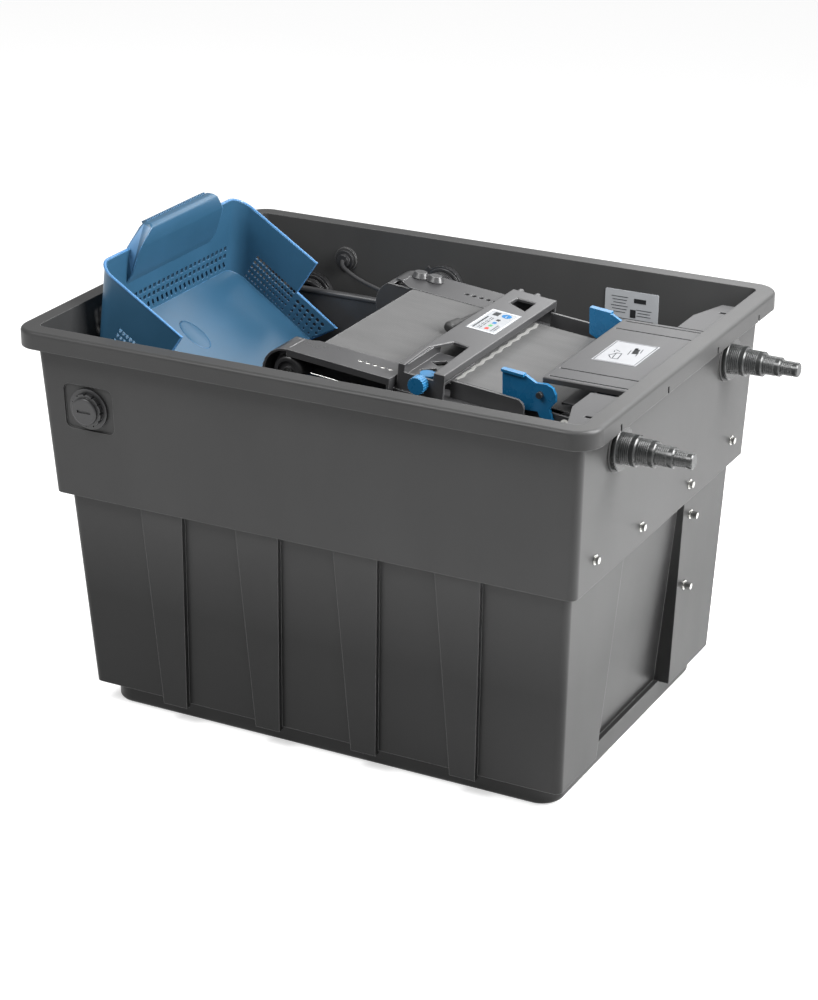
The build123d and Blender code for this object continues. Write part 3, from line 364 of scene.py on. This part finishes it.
def lead(points, name, replaces, with_pieces=(), **facts):
    """Round rubber-sheathed lead on one smooth spline."""
    line = bpy.data.curves.new(name, "CURVE")
    line.dimensions = "3D"
    line.bevel_depth = LEAD_R
    line.bevel_resolution = 3
    line.resolution_u = 5
    line.use_fill_caps = True
    spline = line.splines.new("NURBS")
    spline.points.add(len(points) - 1)
    for spot, place in zip(spline.points, points):
        spot.co = (*place, 1.0)
    spline.order_u = 3
    spline.use_endpoint_u = True
    line.materials.append(FINISH["lead_rubber"])
    piece = bpy.data.objects.new(name, line)
    bpy.context.scene.collection.objects.link(piece)
    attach(piece, "tub_assembly")
    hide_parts(*replaces)
    return piece


def metres(route):
    """A route given in mm, as places in metres."""
    return [Vector(place) * MM for place in route]


OUTER_ROUTE = metres([
    (-235, 287, 478.5), (-235, 305, 477.5), (-235.5, 323, 466), (-236, 331, 442), (-238, 332, 400),
    (-242, 329, 350), (-246, 331, 298), (-249, 327, 246), (-248, 330, 194), (-244, 327, 142), (-240, 330, 94),
    (-236, 336, 52), (-228, 343, 22), (-212, 348, 5), (-190, 345, 2.8), (-163, 342, 2.8),
])
PLUG_ROUTE = metres([(-84, 320, 16), (-56, 309, 9.5), (-27, 304, 7.5), (1, 303, 12), (30, 303, 18.5)])
lead(
    OUTER_ROUTE + coil_points() + PLUG_ROUTE, "supply_cord", ["supply_lead", "lead_coil", "plug_lead"],
    with_pieces=["mains_plug"], length=4.70, far_end="plug", stiffness="stiff", lay="coiled",
)
INNER_ROUTE = metres([
    (-235, 257, 478.5), (-229, 244, 477.5), (-212, 229, 476.5), (-186, 211, 474.5), (-157, 194, 474),
    (-131, 177, 476), (-107, 163, 478),
])
lead(
    INNER_ROUTE, "motor_cord", ["motor_lead"], length=0.161, far_end="object", stiffness="stiff", lay="hanging",
)


# ------------------------------------------------------------------ hose tails
TAIL_STEPS = ((19.0, 379.0, 399.0), (16.0, 399.0, 421.5), (12.5, 421.5, 444.0), (9.5, 444.0, 466.5))
TAIL_ROOT = [(353, 14), (353, 16.8), (374.5, 16.8), (374.5, 26.2), (375.2, 27), (378, 27), (379, 26)]
TAIL_TIP = (466.5, 1.0)
TAIL_Y, TAIL_Z = 0.170, 465
RIB_PITCH, RIB_DEPTH, RIBS_IN = 2.4, 0.45, 1   # ribs start this far into a step
END_RING, END_BEVEL = 4.2, 1.4                 # smooth ring at a step's end, and its bevel
RIB_WAY = ((0, 0), (0.55, 0), (0.7, RIB_DEPTH), (0.9, RIB_DEPTH))     # share of the pitch, depth


def hose_tail(side, node):
    """Stepped tail: each step has fine ribs that grip the hose and ends in a smooth, bevelled ring."""
    profile = list(TAIL_ROOT)
    for radius, start, end in TAIL_STEPS:
        profile.append((start, radius))
        for rib in range(int((end - start - 6) / RIB_PITCH)):
            foot = start + RIBS_IN + rib * RIB_PITCH
            profile += [(foot + RIB_PITCH * share, radius - depth) for share, depth in RIB_WAY]
        profile += [(end - END_RING, radius), (end - END_BEVEL, radius), (end, radius - END_BEVEL)]
    profile.append(TAIL_TIP)
    places = [(x * MM, side * TAIL_Y, (TAIL_Z + radius) * MM) for x, radius in profile]
    bm = revolved(places, (0, side * TAIL_Y, TAIL_Z * MM), (1, 0, 0), 72)
    finished(bm, f"{node}_ribbed", "tail_plastic", replaces=[node])


hose_tail(-1, "near_hose_tail")
hose_tail(1, "far_hose_tail")


# ------------------------------------------------------------------ tapered strain reliefs
BOOT_RINGS, RING_PITCH, RING_NARROWS = 5, 0.165, 0.62


def strain_relief(name, start, end):
    """Ringed rubber boot round the lead, widest at the housing; its profile goes by share of its length."""
    axis = (Vector(end) - Vector(start)) * MM
    profile = [(0, 7.4), (0.1, 7.4)]
    for ring in range(BOOT_RINGS):
        foot, wide = 0.12 + ring * RING_PITCH, 6.6 - ring * RING_NARROWS
        profile += [(foot, wide - 1.0), (foot + 0.05, wide - 1.0), (foot + 0.06, wide), (foot + 0.15, wide - 0.2)]
    profile += [(0.99, 3.7), (1.0, 2.7)]
    bm = revolved([(radius * MM, 0, share * axis.length) for share, radius in profile], (0, 0, 0), (0, 0, 1), 28)
    turn = axis.to_track_quat("Z", "Y").to_matrix().to_4x4()
    bmesh.ops.transform(bm, matrix=Matrix.Translation(Vector(start) * MM) @ turn, verts=bm.verts)
    finished(bm, name, "rubber_black")


strain_relief("gland_strain_relief", (-235, 285, 478.6), (-235, 307, 476.4))
strain_relief("plug_strain_relief", (31, 303, 18.7), (8, 303, 13.9))


# ------------------------------------------------------------------ debris basket
# side outlines in mm, as world X and Z; the floor runs from BACK_FOOT to TOE_FOOT
BASKET_Y, SHEET = 169.0, 2.5
BACK_TOP, BACK_FOOT = Vector((-346.6, 580.2)), Vector((-360.5, 477.1))
LIP, NOTCH = Vector((-224.6, 502.9)), Vector((-256.6, 457.0))
TOE_TOP, TOE_FOOT = Vector((-195.3, 414.7)), Vector((-237.8, 391.6))
HEEL_ROUND, TOE_ROUND = (24, 8), (5, 4)        # radius and segments
HANDLE_TOP = 611.4
HANDLE = ((-350.6, 556), (-347.5, 584), (-341, 606), (-337, HANDLE_TOP), (-326, HANDLE_TOP), (-321.5, 607),
          (-327, 585), (-340, 548), (-353, 530))
TOP_HALF, SHOULDER_HALF, SHOULDER_Z = 75.7, 101.8, 585.6
BEAD_RADIUS = 1.9


def extruded_outline(bm, outline, half):
    """Closed prism over a side outline (world X, Z), as wide as two halves along Y."""
    face = bm.faces.new([bm.verts.new((x * MM, -half * MM, z * MM)) for x, z in outline])
    grown = bmesh.ops.extrude_face_region(bm, geom=[face])["geom"]
    far = [g for g in grown if isinstance(g, bmesh.types.BMVert)]
    bmesh.ops.translate(bm, vec=(0, 2 * half * MM, 0), verts=far)
    bmesh.ops.recalc_face_normals(bm, faces=bm.faces)


def beside(spot, point):
    """Whether a place is over a corner of the side outline."""
    return abs(spot.x - point[0] * MM) < 1e-5 and abs(spot.z - point[1] * MM) < 1e-5


def edges_along(bm, start, end):
    """Edges that join two corners of the side outline."""
    found = []
    for edge in bm.edges:
        one, other = (vert.co for vert in edge.verts)
        if (beside(one, start) and beside(other, end)) or (beside(one, end) and beside(other, start)):
            found.append(edge)
    return found


def rounded(bm, edges, radius, segments):
    """Rounds edges by a radius in mm."""
    bmesh.ops.bevel(
        bm, geom=edges, offset=radius * MM, segments=segments, profile=0.5, affect="EDGES", material=-1
    )


def over_floor(share, rise):
    """Point (X, Z) in mm, a share along the basket's floor and a rise over it."""
    run = TOE_FOOT - BACK_FOOT
    way = run.normalized()
    return BACK_FOOT + run * share + Vector((-way.y, way.x)) * rise


def beside_line(spot, start, end):
    """Whether a place is within half a millimetre of the line through two corners of the side outline."""
    way = (end - start).normalized()
    reach = Vector((spot.x / MM, spot.z / MM)) - start
    return abs(reach.x * way.y - reach.y * way.x) < 0.5


def make_basket():
    """Sheet basket, open at its top and toe, with drain holes and a bead round its rim."""
    bm = bmesh.new()
    extruded_outline(bm, [BACK_TOP, LIP, NOTCH, TOE_TOP, TOE_FOOT, BACK_FOOT], BASKET_Y)
    rounded(bm, edges_along(bm, BACK_TOP, BACK_FOOT), *HEEL_ROUND)
    rounded(bm, edges_along(bm, BACK_FOOT, TOE_FOOT), *TOE_ROUND)
    open_runs = ((BACK_TOP, LIP), (LIP, NOTCH), (NOTCH, TOE_TOP), (TOE_TOP, TOE_FOOT))
    gone = [
        face for face in bm.faces
        if abs(face.normal.y) < 0.5 and any(beside_line(face.calc_center_median(), *run) for run in open_runs)
    ]
    bmesh.ops.delete(bm, geom=gone, context="FACES")
    path = walk([edge for edge in bm.edges if edge.is_boundary])
    bmesh.ops.solidify(bm, geom=bm.faces[:], thickness=SHEET * MM)
    shell = finished(bm, "debris_basket_shell", "blue_plastic", "basket", ["debris_basket"])
    drain(shell)
    bead("debris_basket_rim_bead", path)


def walk(edges):
    """Places round a boundary, in order from its first edge."""
    first, spot = edges[0].verts
    left = set(edges[1:])
    places = [first.co.copy(), spot.co.copy()]
    while left:
        edge = next((e for e in spot.link_edges if e in left), None)
        if edge is None:
            break
        left.remove(edge)
        spot = edge.other_vert(spot)
        places.append(spot.co.copy())
    return places[:-1] if (places[0] - places[-1]).length < WELD else places


def bead(name, places):
    """Round bead along the basket's rim."""
    line = bpy.data.curves.new(name, "CURVE")
    line.dimensions = "3D"
    line.bevel_depth = BEAD_RADIUS * MM
    line.bevel_resolution = 3
    spline = line.splines.new("POLY")
    spline.points.add(len(places) - 1)
    for point, place in zip(spline.points, places):
        point.co = (*place, 1.0)
    spline.use_cyclic_u = True
    holder = bpy.data.objects.new(name, line)
    bpy.context.scene.collection.objects.link(holder)
    bpy.context.view_layer.update()
    mesh = bpy.data.meshes.new_from_object(holder.evaluated_get(bpy.context.evaluated_depsgraph_get()))
    bpy.data.objects.remove(holder)
    bm = bmesh.new()
    bm.from_mesh(mesh)
    rim = finished(bm, name, "blue_plastic", "basket")
    rim.data.materials[0] = FINISH["painted_highlight_blue_rim"]


# holes through both sides: rows, holes a row, first share of the floor, step, radius, growth a row
SIDE_HOLES = ((5, 13, 0.165, 0.0385, 1.5, 0.32), (4, 6, 0.71, 0.062, 1.8, 0.38))
HOLES_UP, HOLE_ROW = 8, 8.4
BACK_HOLES, BACK_PITCH = 27, 11
SLOT_LEAN = Matrix.Rotation(radians(28), 4, "X")


def drain(shell):
    """Round holes in both sides, square holes and slanted slots in the back."""
    bm = bmesh.new()
    across = Matrix.Rotation(radians(90), 4, "X")
    for rows, columns, first, step, radius, growth in SIDE_HOLES:
        for row in range(rows):
            for column in range(columns):
                place = over_floor(first + column * step, HOLES_UP + row * HOLE_ROW)
                spot = Matrix.Translation(Vector((place.x, 0, place.y)) * MM) @ across
                for side in (-1, 1):
                    wall = Matrix.Translation((0, side * BASKET_Y * MM, 0)) @ spot
                    disc(bm, wall, radius + growth * row, radius + growth * row, 9, 12)
    for row in range(2):
        for y in comb(BACK_HOLES, BACK_PITCH):
            block(bm, (-356.5, y, 501 + row * 11), (12, 6.2, 6))
    for y in comb(BACK_HOLES, BACK_PITCH):
        block(bm, (-359, y, 488), (10, 4.2, 10), SLOT_LEAN)
    mesh = bpy.data.meshes.new("drain_cutters")
    bm.to_mesh(mesh)
    bm.free()
    cutter = bpy.data.objects.new("drain_cutters", mesh)
    bpy.context.scene.collection.objects.link(cutter)
    holes = shell.modifiers.new("drain holes", "BOOLEAN")
    holes.operation, holes.solver, holes.object = "DIFFERENCE", "MANIFOLD", cutter
    bpy.context.view_layer.update()
    drilled = bpy.data.meshes.new_from_object(shell.evaluated_get(bpy.context.evaluated_depsgraph_get()))
    shell.modifiers.clear()
    shell.data = drilled
    bpy.data.objects.remove(cutter)


GRIP_RIBS, GRIP_PITCH = 37, 3.8
GRIP_LEAN = Matrix.Rotation(radians(-25), 4, "Y")


def make_handle():
    """Solid wedge behind the back wall's top, narrower over its shoulders, with a ribbed grip."""
    bm = bmesh.new()
    extruded_outline(bm, HANDLE, SHOULDER_HALF)
    for vert in bm.verts:
        over = max(0.0, (vert.co.z / MM - SHOULDER_Z) / (HANDLE_TOP - SHOULDER_Z))
        vert.co.y *= (SHOULDER_HALF + (TOP_HALF - SHOULDER_HALF) * over) / SHOULDER_HALF
    corners = [e for e in bm.edges if abs(e.verts[0].co.y - e.verts[1].co.y) > 0.1 and e.verts[0].co.z > 0.58]
    ends = [e for e in bm.edges if len({abs(f.normal.y) > 0.5 for f in e.link_faces}) == 2]
    rounded(bm, list(dict.fromkeys(corners + ends)), 2.2, 3)
    for y in comb(GRIP_RIBS, GRIP_PITCH):
        block(bm, (-339.5, y, 609.2), (9, 1.7, 5.2), GRIP_LEAN)
    finished(bm, "debris_basket_handle", "blue_plastic", "basket")


def make_floor_mark():
    """Low oval on the basket's floor."""
    bm = bmesh.new()
    disc(bm, Matrix.Identity(4), 24, 20, 0.7, 40)
    along = (TOE_FOOT - BACK_FOOT).normalized()
    middle = over_floor(0.42, SHEET + 0.3)
    tilt = Vector((-along.y, 0, along.x)).to_track_quat("Z", "Y").to_matrix().to_4x4()
    oval = Matrix.Diagonal((0.7, 1.1, 1, 1))
    spot = Matrix.Translation(Vector((middle.x, -10, middle.y)) * MM)
    bmesh.ops.transform(bm, matrix=spot @ tilt @ oval, verts=bm.verts)
    finished(bm, "debris_basket_floor_mark", "blue_plastic", "basket")


make_basket()
make_handle()
make_floor_mark()


# ------------------------------------------------------------------ pale plugs in the side frames' row of holes
SLOPE = radians(5.8)
DECK_X, DECK_Z = -46, 507.8          # where the sloping screen deck starts


def deck(u, y, w):
    """Place at u down the deck, y across and w over it, all in mm."""
    return Vector((DECK_X + u * cos(SLOPE) + w * sin(SLOPE), y, DECK_Z - u * sin(SLOPE) + w * cos(SLOPE))) * MM


PLUGS, PLUG_PITCH = 5, 10.3
bm = bmesh.new()
for step in range(PLUGS):
    spot = Matrix.Translation(deck(62.6 + PLUG_PITCH * step, -143, -0.2)) @ Matrix.Rotation(SLOPE, 4, "Y")
    disc(bm, spot, 4.1, 3.7, 1.2, 24)
finished(bm, "side_frame_plugs", "bushing_white")


# ------------------------------------------------------------------ labels
PRINT, PRINT_UP = 0.12, 0.02         # thickness of a printed mark, and its middle's height over the film


def printed(name, slot, body, place, x_way, y_way, marks):
    """Flat marks on a label: (x, y, width, height, ink[, turn[, "round"]]) in mm from the label's middle."""
    x_way, y_way = Vector(x_way).normalized(), Vector(y_way).normalized()
    base = Matrix((x_way, y_way, x_way.cross(y_way))).transposed().to_4x4()
    base.translation = Vector(place) * MM
    bm = bmesh.new()
    inks = []
    for x, y, width, height, ink_name, *turn in marks:
        if ink_name not in inks:
            inks.append(ink_name)
        size = Matrix.Diagonal((width * MM, height * MM, PRINT * MM, 1))
        spin = Matrix.Rotation(radians(turn[0] if turn else 0), 4, "Z")
        shift = Matrix.Translation((x * MM, y * MM, PRINT_UP * MM))
        if len(turn) > 1:
            made = bmesh.ops.create_cone(
                bm, cap_ends=True, segments=28, radius1=0.5, radius2=0.5, depth=1, matrix=base @ shift @ size
            )
        else:
            made = bmesh.ops.create_cube(bm, size=1, matrix=base @ shift @ spin @ size)
        for face in {face for vert in made["verts"] for face in vert.link_faces}:
            face.material_index = inks.index(ink_name)
    order = [face.material_index for face in bm.faces]
    piece = finished(bm, name, slot, body, smooth=False)
    piece.data.materials.clear()
    for ink_name in inks:
        piece.data.materials.append(FINISH[ink_name])
    for face, index in zip(piece.data.polygons, order):
        face.material_index = index


def frame_marks(width, height, line, ink_name):
    """Four lines round the middle of a label."""
    return [(0, height / 2, width, line, ink_name), (0, -height / 2, width, line, ink_name),
            (width / 2, 0, line, height, ink_name), (-width / 2, 0, line, height, ink_name)]


cover_marks = frame_marks(72, 53, 0.8, "grey_ink")
cover_marks += [
    (-14, 9, 20, 1.1, "grey_ink", 8), (-14, 2, 20, 1.1, "grey_ink", 8), (-24, 5, 1.1, 8, "grey_ink", 8),
    (-4, 7, 1.1, 8, "grey_ink", 8), (-10, 13, 12, 1.0, "grey_ink", -30), (-19, 13, 10, 1.0, "grey_ink", 35),
    (4, 12, 8, 1.0, "grey_ink", 60), (0, 15, 6, 1.0, "grey_ink", 15),
    (10, -9, 17, 7, "black_ink", 8), (19, -6, 6, 4, "black_ink", 8), (2, -14, 14, 1.1, "grey_ink", 8),
    (14, -15, 14, 1.1, "grey_ink", 8), (4, -3, 16, 1.0, "grey_ink", 8),
]
printed("cover_label_print", "label_white", "cover", (304.25, 1, 514.85), (0, 1, 0), (-1, 0, 0), cover_marks)

bridge_marks = frame_marks(73, 37, 0.9, "white_ink")
for column, colour in enumerate(("red_ink", "green_ink", "blue_ink", "grey_ink")):
    x = -26 + column * 11
    bridge_marks += [(x, -3, 6.4, 4.6, colour), (x, 5, 8, 1.0, "grey_ink"), (x, 8, 8, 0.8, "grey_ink")]
bridge_marks += [
    (-20, -11, 22, 1.0, "grey_ink"), (-20, -14, 18, 0.8, "grey_ink"), (-10, 13.5, 44, 2.0, "grey_ink"),
    (25, -6, 13, 13, "blue_ink", 0, "round"), (25, -6, 7, 1.6, "white_ink"), (25, 8, 12, 8, "grey_ink"),
]
down_deck, off_deck = Vector((cos(SLOPE), 0, -sin(SLOPE))), Vector((sin(SLOPE), 0, cos(SLOPE)))
bridge_label_at = Vector((DECK_X, 37, DECK_Z)) + down_deck * 152.5 + off_deck * 20.85
printed(
    "bridge_label_print", "label_grey", "tub_assembly", bridge_label_at, (0, 1, 0), (-cos(SLOPE), 0, sin(SLOPE)),
    bridge_marks,
)

WALL_DRAFT = 0.0493                  # outward lean of the back wall, as a slope
plate_marks = [(-17, 12 - row * 4.2, 24 - 3.2 * (row % 3), 0.9, "grey_ink") for row in range(6)]
plate_marks += [
    (12, 9, 17, 6, "black_ink"), (2.5, -9, 8, 11, "black_ink"), (18, -3, 22, 0.8, "grey_ink"),
    (18, -7, 18, 0.8, "grey_ink"), (18, -11, 20, 0.8, "grey_ink"), (0, -17, 64, 0.8, "grey_ink"),
]
printed(
    "rating_plate_print", "label_grey", "tub_assembly", (196, 267.0, 476.2), (1, 0, 0), (0, WALL_DRAFT, 1),
    plate_marks,
)


# ------------------------------------------------------------------ camera, floor and light
CAMERA_AT = Vector((1.5098, -2.8049, 1.6119))
AZIMUTH, ELEVATION, ROLL = radians(28.204), radians(22.958), radians(-0.305)
LENS, SENSOR = 95.92, 36     # mm, the sensor along the image's long side
FLOOR_DROP = 0.0004          # the floor lies this far under the plinth

scene = bpy.context.scene
camera = bpy.data.objects.new("camera", bpy.data.cameras.new("camera"))
scene.collection.objects.link(camera)
scene.camera = camera
camera.data.lens = LENS
camera.data.sensor_width = SENSOR
camera.data.sensor_fit = "AUTO"
camera.data.clip_end = 50
ahead = Vector((-sin(AZIMUTH) * cos(ELEVATION), cos(AZIMUTH) * cos(ELEVATION), -sin(ELEVATION)))
camera.rotation_mode = "QUATERNION"
camera.rotation_quaternion = ahead.to_track_quat("-Z", "Y") @ Matrix.Rotation(ROLL, 3, "Z").to_quaternion()
camera.location = CAMERA_AT

bm = bmesh.new()
bmesh.ops.create_grid(bm, x_segments=1, y_segments=1, size=40)
ground = bpy.data.meshes.new("studio_floor")
bm.to_mesh(ground)
bm.free()
paper, _, shader, _ = new_finish("white paper sweep", 0.9)
shader.inputs["Base Color"].default_value = srgb("#d8d8d8")
shader.inputs["Emission Color"].default_value = (1, 1, 1, 1)
shader.inputs["Emission Strength"].default_value = 0.56
ground.materials.append(paper)
floor = bpy.data.objects.new("studio_floor", ground)
floor.location.z = -FLOOR_DROP
scene.collection.objects.link(floor)


def softbox(name, at, aim, width, height, watts):
    """Area light, hidden from the camera, that faces a point."""
    light = bpy.data.lights.new(name, "AREA")
    light.shape, light.size, light.size_y, light.energy = "RECTANGLE", width, height, watts
    box = bpy.data.objects.new(name, light)
    box.location = at
    box.visible_camera = False
    box.rotation_mode = "QUATERNION"
    box.rotation_quaternion = (Vector(aim) - Vector(at)).to_track_quat("-Z", "Y")
    scene.collection.objects.link(box)


softbox("key_right", (0.98, 0.05, 1.15), (0.38, 0, 0.44), 0.6, 1.0, 46)
softbox("top_back", (0.4, 1.7, 1.5), (0, 0, 0.45), 2.2, 1.2, 22)
softbox("front_left", (-0.9, -1.6, 2.5), (0, 0.2, 0.4), 1.2, 1.2, 62)
world = bpy.data.worlds.new("studio_air")
world.use_nodes = True
air = world.node_tree.nodes["Background"].inputs
air["Color"].default_value = (1, 1, 1, 1)
air["Strength"].default_value = 0.5
scene.world = world
scene.view_settings.view_transform = "Standard"
